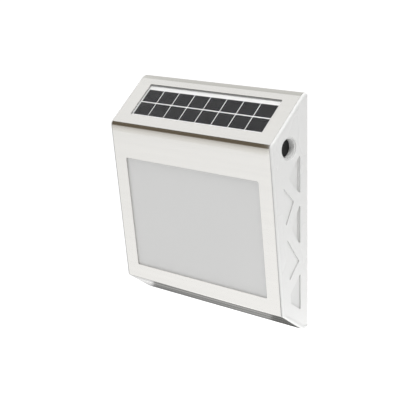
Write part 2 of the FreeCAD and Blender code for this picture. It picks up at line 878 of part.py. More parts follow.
def negative_spring():
    """Conical spring that pushes the cell on to the positive contact."""
    wire_half = contact_spring_wire / 2
    start = -bay_half_length + contact_thickness
    ends = (start + wire_half, start + contact_spring_length - wire_half)
    sizes = (contact_spring_wide, contact_spring_narrow, contact_spring_turns, contact_spring_wire)
    return coil(-cell_depth, bay_height, *ends, *sizes)


# Diffuser and light tray

def diffuser_gasket():
    outer = slab(front, both_ways(inner_half), diffuser_span, (steel_thickness, diffuser_outer))
    clear = (front_window[0] - gasket_setback, front_window[1] + gasket_setback)
    return outer.cut(slab(front, both_ways(front_half + gasket_setback), clear, (0, tray_outer)))


def diffuser_panel():
    return slab(front, both_ways(inner_half), diffuser_span, (diffuser_outer, tray_outer))


def led_hole(x):
    """Bar in the place of the lead hole through the tray's top wall."""
    start = front.multVec(vec(x, sum(led_board_depths) / 2, led_board_low))
    way = front.Rotation.multVec(vec(0, 0, 1))
    return Part.makeCylinder(lead_radius + fit_gap, tray_wall + led_board_thickness, start, way)


def light_tray():
    """White reflector tray behind the diffuser, open to the front."""
    shell = slab(front, both_ways(inner_half), diffuser_span, (tray_outer, tray_inner))
    inside = (diffuser_span[0] + tray_wall, diffuser_span[1] - tray_wall)
    room = slab(front, both_ways(inner_half - tray_wall), inside, (tray_outer - 1, tray_floor), tray_corner)
    holes = [led_hole(-connector_spacing + side * lead_spacing / 2) for side in (-1, 1)]
    return shell.cut([room] + holes)


def led_board():
    half = inner_half - tray_wall - led_board_margin
    return slab(front, both_ways(half), (led_board_low, led_board_top), led_board_depths)


def leds():
    """Surface-mount lamps in a row along the board, facing down."""
    span = 2 * (inner_half - tray_wall - led_board_margin)
    middle = sum(led_board_depths) / 2
    depths = (middle - led_width / 2, middle + led_width / 2)
    lamps = []
    for i in range(led_count):
        x = span * ((i + 0.5) / led_count - 0.5)
        ends = (x - led_length / 2, x + led_length / 2)
        lamps.append(slab(front, ends, (led_board_low - led_height, led_board_low), depths))
    return Part.makeCompound(lamps)


# Solar panel

def solar_gasket():
    outer = slab(slope, both_ways(solar_half), solar_span, (steel_thickness, cover_outer))
    setback = gasket_setback
    clear = (slope_window[0] - setback, slope_window[1] + setback)
    return outer.cut(slab(slope, both_ways(slope_half + setback), clear, (0, cells_outer)))


def solar_cover():
    return slab(slope, both_ways(solar_half), solar_span, (cover_outer, cover_inner))


def cell_block():
    """Half width, low edge and high edge of the block of cells on the slope."""
    low = slope_window[0] + cell_border_low
    high = slope_window[1] - cell_border_high
    return slope_half - cell_border_side, low, high


def solar_cells():
    """Dark cells in columns and rows, with narrow gaps."""
    half, low, high = cell_block()
    column_pitch = (2 * half + cell_column_gap) / cell_columns
    row_pitch = (high - low + cell_row_gap) / cell_rows
    cells = []
    for column in range(cell_columns):
        for row in range(cell_rows):
            x = -half + column * column_pitch
            along = low + row * row_pitch
            ends = (x, x + column_pitch - cell_column_gap)
            rows = (along, along + row_pitch - cell_row_gap)
            cells.append(slab(slope, ends, rows, (cells_outer, solar_board_outer)))
    return Part.makeCompound(cells)


def solar_ribbons():
    """Tinned strips between the rows of cells."""
    half, low, high = cell_block()
    row_pitch = (high - low + cell_row_gap) / cell_rows
    strips = []
    for row in range(1, cell_rows):
        middle = low + row * row_pitch - cell_row_gap / 2
        rows = (middle - ribbon_width / 2, middle + ribbon_width / 2)
        strips.append(slab(slope, both_ways(half), rows, (cells_outer, solar_board_outer)))
    return Part.makeCompound(strips)


def solar_board():
    return slab(slope, both_ways(solar_half), solar_span, (solar_board_outer, carrier_outer))


def panel_carrier():
    """Frame that presses the panel against the steel, with a lip around the board and a middle bridge."""
    seat_span = (solar_span[0] - fit_gap, solar_span[1] + fit_gap)
    span = (seat_span[0] - carrier_lip, seat_span[1] + carrier_lip)
    frame = slab(slope, both_ways(inner_half), span, (cover_outer, carrier_inner))
    seat = slab(slope, both_ways(solar_half + fit_gap), seat_span, (0, carrier_outer))
    clear = (solar_span[0] + carrier_frame, solar_span[1] - carrier_frame)
    lights = [
        slab(slope, sorted((side * carrier_frame / 2, side * (solar_half - carrier_frame))), clear,
             (carrier_outer, carrier_inner))
        for side in (-1, 1)
    ]
    return frame.cut([seat] + lights)


# Control board

def control_board():
    board = slab(wall, both_ways(board_width / 2), (board_low, board_high), (-board_front, -board_back))
    hole_radius = small_screw_radius + screw_hole_gap
    return board.cut([rod_y(x, z, hole_radius, (board_back, board_front)) for x, z in board_post_places])


def board_screws():
    screws = []
    for x, z in board_post_places:
        head = rod_y(x, z, small_screw_head_radius, (board_front, board_front + small_screw_head_height))
        shank = rod_y(x, z, small_screw_radius, (board_front - small_screw_length, board_front))
        screws.append(head.fuse(shank).removeSplitter())
    return Part.makeCompound(screws)


def driver_chip():
    middle = (board_low + board_high) / 2
    return slab(
        wall, both_ways(chip_length / 2), (middle - chip_width / 2, middle + chip_width / 2),
        (-board_front - chip_height, -board_front),
    )


def boost_coil():
    """Drum coil: a winding between two flanges."""
    x = -board_width / 4
    z = (board_low + board_high) / 2
    drum = rod_y(x, z, coil_radius, (board_front, board_front + coil_height))
    waist = (board_front + coil_flange, board_front + coil_height - coil_flange)
    groove = rod_y(x, z, coil_radius + 1, waist).cut(rod_y(x, z, coil_radius - coil_groove, waist))
    return drum.cut(groove)


def capacitor():
    middle = (board_low + board_high) / 2
    return rod_y(board_width / 4, middle, capacitor_radius, (board_front, board_front + capacitor_height))


def connector_places():
    return [step * connector_spacing for step in (-1, 0, 1)]


def board_connectors():
    """Plugged headers along the upper edge of the board."""
    headers = []
    for x in connector_places():
        ends = (x - connector_width / 2, x + connector_width / 2)
        depths = (-board_front - connector_depth, -board_front)
        headers.append(slab(wall, ends, (connector_low, connector_low + connector_height), depths))
    return Part.makeCompound(headers)


# Leads

def connector_top(x, above=0.0):
    """Point over a connector on the control board."""
    return vec(x, -connector_middle, connector_low + connector_height + above)


def slack_point(start, end):
    """Point halfway along a free run, pushed forwards by the slack of the lead."""
    return (start + end) * 0.5 - vec(0, lead_slack, 0)


def solar_leads():
    """Pair from the back of the panel, through the carrier, down to the middle connector."""
    along = sum(solar_span) / 2
    start, leaving = [
        slope.multVec(vec(carrier_frame, depth, along)) for depth in (carrier_outer, carrier_outer + lead_rise)
    ]
    arriving = connector_top(0, lead_rise)
    points = [start, leaving, slack_point(leaving, arriving), arriving, connector_top(0)]
    return lead_pair(points, vec(1, 0, 0))


def led_leads():
    """Pair from the lamp board, up through the tray's top wall, back over the tray and down."""
    x = -connector_spacing
    depth = sum(led_board_depths) / 2
    over = led_board_top + lead_rise
    points = [
        front.multVec(vec(x, depth, led_board_top)), front.multVec(vec(x, depth, over)),
        front.multVec(vec(x, tray_inner + lead_rise, over)), connector_top(x, lead_rise), connector_top(x),
    ]
    return lead_pair(points, vec(1, 0, 0))


def switch_lead(side):
    """Lead from one pin of the switch to the right-hand connector."""
    x = connector_spacing + side * lead_spacing / 2
    pin = vec(switch_back_x - pin_length, button_y, button_z + side * pin_spacing / 2)
    leaving = pin - vec(lead_rise, 0, 0)
    arriving = connector_top(x, lead_rise)
    return lead([pin, leaving, slack_point(leaving, arriving), arriving, connector_top(x)])


def switch_leads():
    return Part.makeCompound([switch_lead(side) for side in (-1, 1)])


def battery_lead(side):
    """Lead from one contact tab up to the lower edge of the control board."""
    tab = vec(
        side * (bay_half_length + housing_wall + contact_tab / 2),
        -bay_floor + fit_gap + 1.5 * contact_thickness,
        bay_height + contact_tab / 2,
    )
    pad = vec(side * (board_width / 2 - 2 * board_post_inset), -board_front, board_low + lead_pad_inset)
    return lead([tab, tab + vec(0, 0, lead_rise), pad - vec(0, lead_rise, 0), pad])


def battery_leads():
    return Part.makeCompound([battery_lead(side) for side in (-1, 1)])


# Export, with the origin moved to the middle of the keyholes

nodes = {
    "steel_cover": steel_cover(),
    "left_end_cap": left_end_cap(),
    "right_end_cap": right_end_cap(),
    "back_housing": back_housing(),
    "back_screws": back_screws(),
    "battery_door": battery_door(),
    "battery_door_seal": battery_door_seal(),
    "battery_door_screw": battery_door_screw(),
    "battery_cell": battery_cell(),
    "positive_contact": positive_contact(),
    "negative_contact": negative_contact(),
    "negative_spring": negative_spring(),
    "diffuser_gasket": diffuser_gasket(),
    "diffuser_panel": diffuser_panel(),
    "light_tray": light_tray(),
    "led_board": led_board(),
    "leds": leds(),
    "solar_gasket": solar_gasket(),
    "solar_cover": solar_cover(),
    "solar_cells": solar_cells(),
    "solar_ribbons": solar_ribbons(),
    "solar_board": solar_board(),
    "panel_carrier": panel_carrier(),
    "control_board": control_board(),
    "board_screws": board_screws(),
    "driver_chip": driver_chip(),
    "boost_coil": boost_coil(),
    "capacitor": capacitor(),
    "board_connectors": board_connectors(),
    "switch_button": switch_button(),
    "switch_plunger": switch_plunger(),
    "switch_spring": switch_spring(),
    "switch_body": switch_body(),
    "switch_board": switch_board(),
    "switch_board_screws": switch_board_screws(),
    "solar_leads": solar_leads(),
    "led_leads": led_leads(),
    "switch_leads": switch_leads(),
    "battery_leads": battery_leads(),
}
os.makedirs("parts", exist_ok=True)
for name, shape in nodes.items():
    shape.translate(vec(0, 0, -keyhole_height))
    shape.exportStep("parts/" + name + ".step")
    print(name, shape.isValid(), len(shape.Solids), round(shape.Volume, 1))
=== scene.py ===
import math

import bmesh
import bpy
from mathutils import Matrix, Vector


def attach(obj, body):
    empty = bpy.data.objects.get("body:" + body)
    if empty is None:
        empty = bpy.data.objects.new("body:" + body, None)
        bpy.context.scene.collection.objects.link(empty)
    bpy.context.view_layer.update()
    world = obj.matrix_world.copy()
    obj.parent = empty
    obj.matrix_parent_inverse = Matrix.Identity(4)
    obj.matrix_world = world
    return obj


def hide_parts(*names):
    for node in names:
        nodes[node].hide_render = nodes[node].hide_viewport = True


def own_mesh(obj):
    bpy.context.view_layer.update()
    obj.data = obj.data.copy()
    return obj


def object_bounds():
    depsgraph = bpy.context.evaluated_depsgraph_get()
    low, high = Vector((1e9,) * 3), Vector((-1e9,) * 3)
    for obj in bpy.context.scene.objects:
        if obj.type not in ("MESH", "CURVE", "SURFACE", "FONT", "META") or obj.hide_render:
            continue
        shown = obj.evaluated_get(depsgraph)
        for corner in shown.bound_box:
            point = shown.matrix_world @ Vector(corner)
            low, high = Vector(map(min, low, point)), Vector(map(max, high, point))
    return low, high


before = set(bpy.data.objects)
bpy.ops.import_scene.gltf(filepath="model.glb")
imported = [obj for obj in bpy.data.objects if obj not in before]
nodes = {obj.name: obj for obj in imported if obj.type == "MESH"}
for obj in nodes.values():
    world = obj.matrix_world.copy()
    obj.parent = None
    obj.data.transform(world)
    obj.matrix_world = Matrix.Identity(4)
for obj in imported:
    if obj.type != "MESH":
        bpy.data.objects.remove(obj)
cad_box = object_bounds()


# Back housing and battery door
# The plate that hangs on the wall and the small door over the cell are white ABS mouldings.
# Their tools are spark eroded, which leaves a fine even grain. Screws from behind hold both.

def start_material(name):
    material = bpy.data.materials.new(name)
    material.use_nodes = True
    return material, material.node_tree, material.node_tree.nodes["Principled BSDF"]


def add_node(tree, kind, **settings):
    node = tree.nodes.new(kind)
    for key, value in settings.items():
        setattr(node, key, value)
    return node


def feed(tree, socket, value):
    """Gives a socket a plain value, or what another node puts out."""
    if isinstance(value, bpy.types.NodeSocket):
        tree.links.new(value, socket)
    else:
        socket.default_value = value


def object_place(tree):
    """Place on the piece, in the shared frame."""
    return add_node(tree, "ShaderNodeTexCoord").outputs["Object"]


def noise_at(tree, place, scale, detail=2.0, stretch=(1, 1, 1)):
    """Noise on a stretched copy of the given coordinates."""
    mapping = add_node(tree, "ShaderNodeMapping")
    mapping.inputs["Scale"].default_value = stretch
    tree.links.new(place, mapping.inputs["Vector"])
    noise = add_node(tree, "ShaderNodeTexNoise")
    noise.inputs["Detail"].default_value = detail
    feed(tree, noise.inputs["Scale"], scale)
    tree.links.new(mapping.outputs["Vector"], noise.inputs["Vector"])
    return noise.outputs["Fac"]


def ranged(tree, value, ends, results):
    """Value carried from the given ends to the given results, and held there beyond the ends."""
    node = add_node(tree, "ShaderNodeMapRange")
    names = ("Value", "From Min", "From Max", "To Min", "To Max")
    for name, setting in zip(names, (value, *ends, *results)):
        feed(tree, node.inputs[name], setting)
    return node.outputs["Result"]


def spread(tree, value, low, high):
    """Noise value carried from its usual middle range to the given ends."""
    return ranged(tree, value, (0.3, 0.7), (low, high))


def calculated(tree, operation, *values):
    node = add_node(tree, "ShaderNodeMath", operation=operation)
    for socket, value in zip(node.inputs, values):
        feed(tree, socket, value)
    return node.outputs["Value"]


def tinted(tree, colour, factor):
    """Colour made a little lighter or darker by a factor that varies over the surface."""
    node = add_node(tree, "ShaderNodeMix", data_type="RGBA", blend_type="MULTIPLY")
    node.inputs["Factor"].default_value = 1.0
    node.inputs["A"].default_value = (*colour, 1)
    tree.links.new(factor, node.inputs["B"])
    return node.outputs["Result"]


def bumped(tree, shader, height, strength, distance):
    bump = add_node(tree, "ShaderNodeBump")
    bump.inputs["Strength"].default_value = strength
    bump.inputs["Distance"].default_value = distance
    tree.links.new(height, bump.inputs["Height"])
    tree.links.new(bump.outputs["Normal"], shader.inputs["Normal"])


def start_group(name, entries, results):
    """Effect that several materials share, with the numbers that go in and come out."""
    group = bpy.data.node_groups.new(name, "ShaderNodeTree")
    for way, sockets in (("INPUT", entries), ("OUTPUT", results)):
        for socket in sockets:
            group.interface.new_socket(socket, in_out=way, socket_type="NodeSocketFloat")
    return group, add_node(group, "NodeGroupInput").outputs, add_node(group, "NodeGroupOutput").inputs


def moulded_grain_group():
    """Uneven flow tone, uneven gloss and spark-eroded grain of a moulded plastic skin."""
    group, given, result = start_group(
        "moulded_grain", ("Grain per metre", "Gloss"), ("Tone", "Roughness", "Height"))
    place = object_place(group)
    flow = noise_at(group, place, scale=22.0, detail=3.0, stretch=(1, 1, 0.5))
    grain = noise_at(group, place, scale=given["Grain per metre"], detail=1.0)
    uneven = calculated(group, "ADD", given["Gloss"], spread(group, flow, -0.03, 0.05))
    group.links.new(spread(group, flow, 0.992, 1.0), result["Tone"])
    group.links.new(uneven, result["Roughness"])
    group.links.new(grain, result["Height"])
    return group


moulded_grain = moulded_grain_group()


def moulded_plastic(name, colour, gloss, grain, relief):
    """Opaque plastic with the shared moulded grain."""
    grain_depth = 0.0001
    material, tree, shader = start_material(name)
    skin = add_node(tree, "ShaderNodeGroup", node_tree=moulded_grain)
    skin.inputs["Grain per metre"].default_value = grain
    skin.inputs["Gloss"].default_value = gloss
    tree.links.new(tinted(tree, colour, skin.outputs["Tone"]), shader.inputs["Base Color"])
    tree.links.new(skin.outputs["Roughness"], shader.inputs["Roughness"])
    bumped(tree, shader, skin.outputs["Height"], strength=relief, distance=grain_depth)
    return material


def dress(material, *names):
    for name in names:
        for slot in nodes[name].material_slots:
            slot.material = material


housing_white = (0.80, 0.80, 0.79)
housing_plastic = moulded_plastic("housing_plastic", housing_white, gloss=0.5, grain=1500.0, relief=0.4)
dress(housing_plastic, "back_housing", "battery_door")


# Seals
# The door seal and the gaskets under the two windows are die-cut strips of closed-cell foam.
# They are stuck to the plastic on one side and squeezed by the steel or the door on the other.

def foam_cells_group():
    """Closed cells of foam, each a small pit that is lower at its middle, with painted shade darkening that
    middle.
    """
    group, given, result = start_group("foam_cells", ("Cells per metre",), ("Tone", "Height"))
    cells = add_node(group, "ShaderNodeTexVoronoi")
    group.links.new(given["Cells per metre"], cells.inputs["Scale"])
    group.links.new(object_place(group), cells.inputs["Vector"])
    # The darker middle of each pit is painted shade.
    group.links.new(spread(group, cells.outputs["Distance"], 0.92, 1.0), result["Tone"])
    group.links.new(cells.outputs["Distance"], result["Height"])
    return group


foam_cells = foam_cells_group()


def foam_material(name, colour):
    pit_depth = 0.0001
    material, tree, shader = start_material(name)
    skin = add_node(tree, "ShaderNodeGroup", node_tree=foam_cells)
    skin.inputs["Cells per metre"].default_value = 3000.0
    tree.links.new(tinted(tree, colour, skin.outputs["Tone"]), shader.inputs["Base Color"])
    shader.inputs["Roughness"].default_value = 0.9
    bumped(tree, shader, skin.outputs["Height"], strength=0.5, distance=pit_depth)
    return material


white_foam = foam_material("white_foam", (0.86, 0.86, 0.84))
dark_foam = foam_material("dark_foam", (0.36, 0.36, 0.35))
dress(white_foam, "battery_door_seal", "diffuser_gasket")
dress(dark_foam, "solar_gasket")


# Battery cell, contacts and leads
# One rechargeable cell in a plain green sleeve lies in the bay between a flat contact and a coil spring.
# Stranded leads in PVC run from the contacts, the panel, the lamps and the switch to the control board.

def plating_marks_group():
    """Faint handling marks on bright plating."""
    group, given, result = start_group("plating_marks", ("Gloss",), ("Tone", "Roughness"))
    marks = noise_at(group, object_place(group), scale=400.0, detail=4.0)
    uneven = calculated(group, "ADD", given["Gloss"], spread(group, marks, -0.06, 0.1))
    group.links.new(spread(group, marks, 0.88, 1.0), result["Tone"])
    group.links.new(uneven, result["Roughness"])
    return group


plating_marks = plating_marks_group()


def plated_material(name, colour, gloss):
    material, tree, shader = start_material(name)
    skin = add_node(tree, "ShaderNodeGroup", node_tree=plating_marks)
    skin.inputs["Gloss"].default_value = gloss
    tree.links.new(tinted(tree, colour, skin.outputs["Tone"]), shader.inputs["Base Color"])
    tree.links.new(skin.outputs["Roughness"], shader.inputs["Roughness"])
    shader.inputs["Metallic"].default_value = 1.0
    return material


cell_green = (0.03, 0.15, 0.06)
lead_red = (0.32, 0.02, 0.015)
battery_sleeve = moulded_plastic("battery_sleeve", cell_green, gloss=0.25, grain=600.0, relief=0.05)
nickel_plating = plated_material("nickel_plating", (0.68, 0.67, 0.64), gloss=0.25)
spring_wire = plated_material("spring_wire", (0.62, 0.61, 0.60), gloss=0.22)
lead_insulation = moulded_plastic("lead_insulation", lead_red, gloss=0.4, grain=900.0, relief=0.1)
dress(battery_sleeve, "battery_cell")
dress(nickel_plating, "positive_contact", "negative_contact")
dress(spring_wire, "negative_spring", "switch_spring")
dress(lead_insulation, "solar_leads", "led_leads", "switch_leads", "battery_leads")


# Back screws
# Four pan head screws join the housing to the end caps and a fifth keeps the battery door shut.
# They are cold headed, zinc plated and driven through a cross recess.

def next_ring(mesh, edges, scale, depth):
    """Extrudes an open rim, sizes it about the screw's axis and sinks it."""
    ring = bmesh.ops.extrude_edge_only(mesh, edges=edges)["geom"]
    points = [part for part in ring if isinstance(part, bmesh.types.BMVert)]
    bmesh.ops.scale(mesh, vec=(scale, 1, scale), verts=points)
    bmesh.ops.translate(mesh, vec=(0, -depth, 0), verts=points)
    return [part for part in ring if isinstance(part, bmesh.types.BMEdge)]


def screw_mesh(head_height, shank_length):
    """Pan head screw with a cross recess, its head facing the wall at the origin."""
    head_radius = 0.0027
    shank_radius = 0.0014
    crown_radius = 0.0020
    shoulder = 0.87
    tip = 0.3
    arm_reach = 0.00145
    arm_half = 0.00036
    recess_depth = 0.55 * head_height
    recess_taper = 0.72
    mesh = bmesh.new()
    face_down = Matrix.Rotation(math.pi / 2, 4, "X")
    crown = bmesh.ops.create_circle(mesh, segments=40, radius=crown_radius, matrix=face_down)["verts"]
    rim = list({edge for point in crown for edge in point.link_edges})
    corners = []
    for turn in range(4):
        spun = Matrix.Rotation(turn * math.pi / 2, 3, "Y")
        for x, z in ((arm_reach, -arm_half), (arm_reach, arm_half), (arm_half, arm_half)):
            corners.append(mesh.verts.new(spun @ Vector((x, 0, -z))))
    cross = [mesh.edges.new(pair) for pair in zip(corners, corners[1:] + corners[:1])]
    bmesh.ops.bridge_loops(mesh, edges=rim + cross)
    pit = next_ring(mesh, cross, recess_taper, recess_depth)
    bmesh.ops.contextual_create(mesh, geom=pit)
    steps = (
        (shoulder * head_radius / crown_radius, 0.10 * head_height),
        (1 / shoulder, 0.35 * head_height),
        (1, 0.55 * head_height),
        (shank_radius / head_radius, 0),
        (1, shank_length - shank_radius),
        (tip, shank_radius),
    )
    for scale, depth in steps:
        rim = next_ring(mesh, rim, scale, depth)
    bmesh.ops.contextual_create(mesh, geom=rim)
    return mesh


def finished_piece(name, mesh, material):
    data = bpy.data.meshes.new(name)
    mesh.to_mesh(data)
    mesh.free()
    data.materials.append(material)
    piece = bpy.data.objects.new(name, data)
    bpy.context.scene.collection.objects.link(piece)
    return piece


def housing_piece(name, mesh, material):
    """Finished piece that moves with the housing."""
    bmesh.ops.recalc_face_normals(mesh, faces=mesh.faces)
    piece = finished_piece(name, mesh, material)
    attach(piece, "housing")
    return piece


def screws_piece(name, node, places, head_height):
    """Like screws standing at the given places, in place of the plain ones of the frame."""
    shank_length = 0.011
    screw = screw_mesh(head_height, shank_length)
    pattern = bpy.data.meshes.new("screw_pattern")
    screw.to_mesh(pattern)
    screw.free()
    mesh = bmesh.new()
    for place, turn in places:
        mesh.from_mesh(pattern)
        mesh.verts.ensure_lookup_table()
        points = mesh.verts[len(mesh.verts) - len(pattern.vertices):]
        spun = Matrix.Rotation(math.radians(turn), 3, "Y")
        bmesh.ops.rotate(mesh, cent=(0, 0, 0), matrix=spun, verts=points)
        bmesh.ops.translate(mesh, vec=place, verts=points)
    bpy.data.meshes.remove(pattern)
    bmesh.ops.remove_doubles(mesh, verts=mesh.verts, dist=1e-7)
    piece = housing_piece(name, mesh, zinc)
    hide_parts(node)


zinc = plated_material("zinc_plating", (0.62, 0.63, 0.64), gloss=0.3)
dress(zinc, "board_screws", "switch_board_screws")
corner_screws = [
    ((-0.0824, -0.0002, -0.116), 20), ((0.0824, -0.0002, -0.116), 65),
    ((-0.0824, -0.0002, 0.032), 40), ((0.0824, -0.0002, 0.032), 5),
]
door_screw = [((0.03315, -0.0001, -0.075), 30)]
screws_piece("corner_screws", "back_screws", corner_screws, head_height=0.0017)
screws_piece("door_screw", "battery_door_screw", door_screw, head_height=0.0009)


# Light tray, carrier and lamps
# The tray behind the frosted panel and the carrier under the solar panel are gloss white mouldings.
# Six small lamps with yellow phosphor sit on a strip board under the tray's top wall.

tray_white = (0.84, 0.84, 0.83)
phosphor_yellow = (0.80, 0.66, 0.25)
tray_plastic = moulded_plastic("reflector_plastic", tray_white, gloss=0.25, grain=1200.0, relief=0.1)
lamp_phosphor = moulded_plastic("lamp_phosphor", phosphor_yellow, gloss=0.3, grain=2500.0, relief=0.1)
dress(tray_plastic, "light_tray", "panel_carrier")
dress(lamp_phosphor, "leds")


# Circuit boards and their components
# Fibreglass boards under green solder mask carry a driver chip, a boost coil, a capacitor and plugs.
# They are soldered flat and screwed to posts of the housing and the switch can.

def board_material():
    """Solder mask over woven fibreglass."""
    mask_green = (0.015, 0.11, 0.035)
    weave_per_metre = 1600.0
    material, tree, shader = start_material("solder_mask")
    weave = add_node(tree, "ShaderNodeTexChecker")
    weave.inputs["Scale"].default_value = weave_per_metre
    tree.links.new(object_place(tree), weave.inputs["Vector"])
    woven = spread(tree, weave.outputs["Fac"], 0.9, 1.0)
    tree.links.new(tinted(tree, mask_green, woven), shader.inputs["Base Color"])
    shader.inputs["Roughness"].default_value = 0.3
    return material


chip_black = (0.02, 0.02, 0.02)
ferrite_grey = (0.05, 0.045, 0.04)
can_blue = (0.03, 0.03, 0.05)
nylon_cream = (0.70, 0.68, 0.60)
chip_epoxy = moulded_plastic("chip_epoxy", chip_black, gloss=0.5, grain=1800.0, relief=0.2)
coil_ferrite = moulded_plastic("coil_ferrite", ferrite_grey, gloss=0.6, grain=2200.0, relief=0.4)
capacitor_sleeve = moulded_plastic("capacitor_sleeve", can_blue, gloss=0.3, grain=700.0, relief=0.05)
connector_nylon = moulded_plastic("connector_nylon", nylon_cream, gloss=0.45, grain=1500.0, relief=0.2)
dress(board_material(), "led_board", "control_board", "switch_board")
dress(chip_epoxy, "driver_chip")
dress(coil_ferrite, "boost_coil")
dress(capacitor_sleeve, "capacitor")
dress(connector_nylon, "board_connectors")


# Frosted panel
# An acrylic sheet etched on its face spreads the lamps' light behind the house number.
# It is cut square, lies behind the steel and is pressed on to its gasket by the tray.

def frosted_material():
    panel_grey = (0.945, 0.945, 0.935)
    etch_depth = 0.00005
    material, tree, shader = start_material("frosted_acrylic")
    place = object_place(tree)
    etch = noise_at(tree, place, scale=2600.0, detail=2.0)
    cloud = noise_at(tree, place, scale=9.0, detail=1.0)
    tree.links.new(tinted(tree, panel_grey, spread(tree, cloud, 0.985, 1.0)), shader.inputs["Base Color"])
    tree.links.new(spread(tree, etch, 0.5, 0.62), shader.inputs["Roughness"])
    shader.inputs["Specular IOR Level"].default_value = 0.25
    bumped(tree, shader, etch, strength=0.25, distance=etch_depth)
    return material


dress(frosted_material(), "diffuser_panel")


# Steel wrap
# One stainless sheet, punched for the two windows and bent over the slope, brow, chin and back edges.
# It is brushed lengthwise, so its grain runs across the light and smears reflections up and down.

def split(tree, vector, axis):
    """One part of a vector."""
    node = add_node(tree, "ShaderNodeSeparateXYZ")
    tree.links.new(vector, node.inputs["Vector"])
    return node.outputs[axis]


def brushed_material():
    """Steel with long brush lines. Its underside carries painted reflection in light and dark lengthwise
    streaks, and painted shade that darkens it towards the wall.
    """
    steel = (0.775, 0.765, 0.74)
    # Tones of the painted reflection streaks, and where the painted shade near the wall begins and ends.
    painted_streak_tones = (0.4, 1.25)
    wall_shade_from = -0.020
    wall_shade_to = -0.013
    brush_depth = 0.000002
    material, tree, shader = start_material("brushed_steel")
    place = object_place(tree)
    broad = noise_at(tree, place, scale=260.0, detail=3.0, stretch=(0.02, 1, 1))
    fine = noise_at(tree, place, scale=2400.0, detail=2.0, stretch=(0.012, 1, 1))
    # Painted reflection in lengthwise streaks and painted shade near the wall, on the underside only.
    painted_sheen = noise_at(tree, place, scale=130.0, detail=1.0, stretch=(0.05, 1, 1))
    streaks = ranged(tree, painted_sheen, (0.4, 0.6), painted_streak_tones)
    wall_shade = ranged(tree, split(tree, place, "Y"), (wall_shade_from, wall_shade_to), (1.0, 0.5))
    painted_reflection = calculated(tree, "MULTIPLY", streaks, wall_shade)
    facing = split(tree, add_node(tree, "ShaderNodeNewGeometry").outputs["True Normal"], "Z")
    under = ranged(tree, facing, (-0.5, -0.3), (painted_reflection, 1.0))
    tone = calculated(tree, "MULTIPLY", spread(tree, broad, 0.985, 1.01), under)
    tree.links.new(tinted(tree, steel, tone), shader.inputs["Base Color"])
    tree.links.new(spread(tree, fine, 0.11, 0.17), shader.inputs["Roughness"])
    shader.inputs["Metallic"].default_value = 1.0
    bumped(tree, shader, fine, strength=0.5, distance=brush_depth)
    return material


dress(brushed_material(), "steel_cover")


# Solar panel
# Dark silicon cells lie on a white laminate, with a tinned ribbon between the rows and filler in the gaps.
# A clear resin cover seals them. The carrier presses the panel to the steel, where the gasket's lip shows,
# widened at the top as a dark strip in place of the shadow under the steel.

def silicon_material():
    """Blue-black silicon with fine printed collector lines."""
    silicon_blue = (0.005, 0.005, 0.006)
    line_silver = (0.09, 0.09, 0.095)
    line_pitch = 0.0016
    line_half = 0.00006
    material, tree, shader = start_material("silicon")
    place = object_place(tree)
    crystal = noise_at(tree, place, scale=60.0, detail=2.0)
    nearest = calculated(tree, "PINGPONG", split(tree, place, "X"), line_pitch / 2)
    printed = add_node(tree, "ShaderNodeMix", data_type="RGBA")
    on_line = ranged(tree, nearest, (line_half, 1.5 * line_half), (1.0, 0.0))
    tree.links.new(on_line, printed.inputs["Factor"])
    tree.links.new(tinted(tree, silicon_blue, spread(tree, crystal, 0.8, 1.2)), printed.inputs["A"])
    printed.inputs["B"].default_value = (*line_silver, 1)
    tree.links.new(printed.outputs["Result"], shader.inputs["Base Color"])
    shader.inputs["Roughness"].default_value = 0.4
    shader.inputs["Specular IOR Level"].default_value = 0.1
    return material


def clear_material():
    material, tree, shader = start_material("clear_resin")
    ripple = noise_at(tree, object_place(tree), scale=30.0, detail=1.0)
    shader.inputs["Base Color"].default_value = (1, 1, 1, 1)
    tree.links.new(spread(tree, ripple, 0.02, 0.06), shader.inputs["Roughness"])
    shader.inputs["Transmission Weight"].default_value = 1.0
    shader.inputs["IOR"].default_value = 1.15
    return material


laminate_white = (0.93, 0.93, 0.92)
ribbon_silver = (0.92, 0.92, 0.91)
laminate = moulded_plastic("laminate", laminate_white, gloss=0.4, grain=900.0, relief=0.1)
dress(silicon_material(), "solar_cells")
dress(plated_material("tinned_ribbon", ribbon_silver, gloss=0.3), "solar_ribbons")
dress(laminate, "solar_board")
dress(clear_material(), "solar_cover")
nodes["solar_cover"].visible_shadow = False
nodes["solar_cover"].visible_diffuse = False

slope_foot = Vector((0, -0.0479, 0.0195))
slope_top = Vector((0, -0.0050, 0.0553))
slope_along = (slope_top - slope_foot).normalized()
slope_inward = Vector((0, slope_along.z, -slope_along.y))
slope_length = (slope_top - slope_foot).length


def on_slope(x, along, depth):
    """Point by its place across and up the slope and its depth below the steel's face."""
    return Vector((x, 0, 0)) + slope_foot + slope_along * along + slope_inward * depth


def thickened(mesh, faces, depth):
    grown = bmesh.ops.extrude_face_region(mesh, geom=faces, use_keep_orig=True)["geom"]
    deep = [part for part in grown if isinstance(part, bmesh.types.BMVert)]
    bmesh.ops.translate(mesh, vec=slope_inward * depth, verts=deep)


def gasket_lip_shadow():
    """Thin edge of the dark gasket round the window, between the steel and the cover, widest along the top
    edge, where it is a dark strip standing in for the shadow under the steel's rim.
    """
    window_half = 0.0734
    window_low = 0.0116
    window_high = slope_length - 0.0091
    outer_depth = 0.00062
    thickness = 0.00036
    tuck = 0.0002
    shown_side = 0.0001
    # The wider strip along the top edge is a dark piece standing in for shadow.
    top_shadow_width = 0.0006
    shown_low = 0.0002
    outline = (window_half + tuck, window_low - tuck, window_high + tuck)
    opening = (window_half - shown_side, window_low + shown_low, window_high - top_shadow_width)
    mesh = bmesh.new()
    loops = []
    for half, low, high in (outline, opening):
        places = ((-half, low), (half, low), (half, high), (-half, high))
        corners = [mesh.verts.new(on_slope(x, along, outer_depth)) for x, along in places]
        loops += [mesh.edges.new(pair) for pair in zip(corners, corners[1:] + corners[:1])]
    ring = bmesh.ops.bridge_loops(mesh, edges=loops)["faces"]
    thickened(mesh, ring, thickness)
    housing_piece("solar_gasket_lip_shadow", mesh, dark_foam)


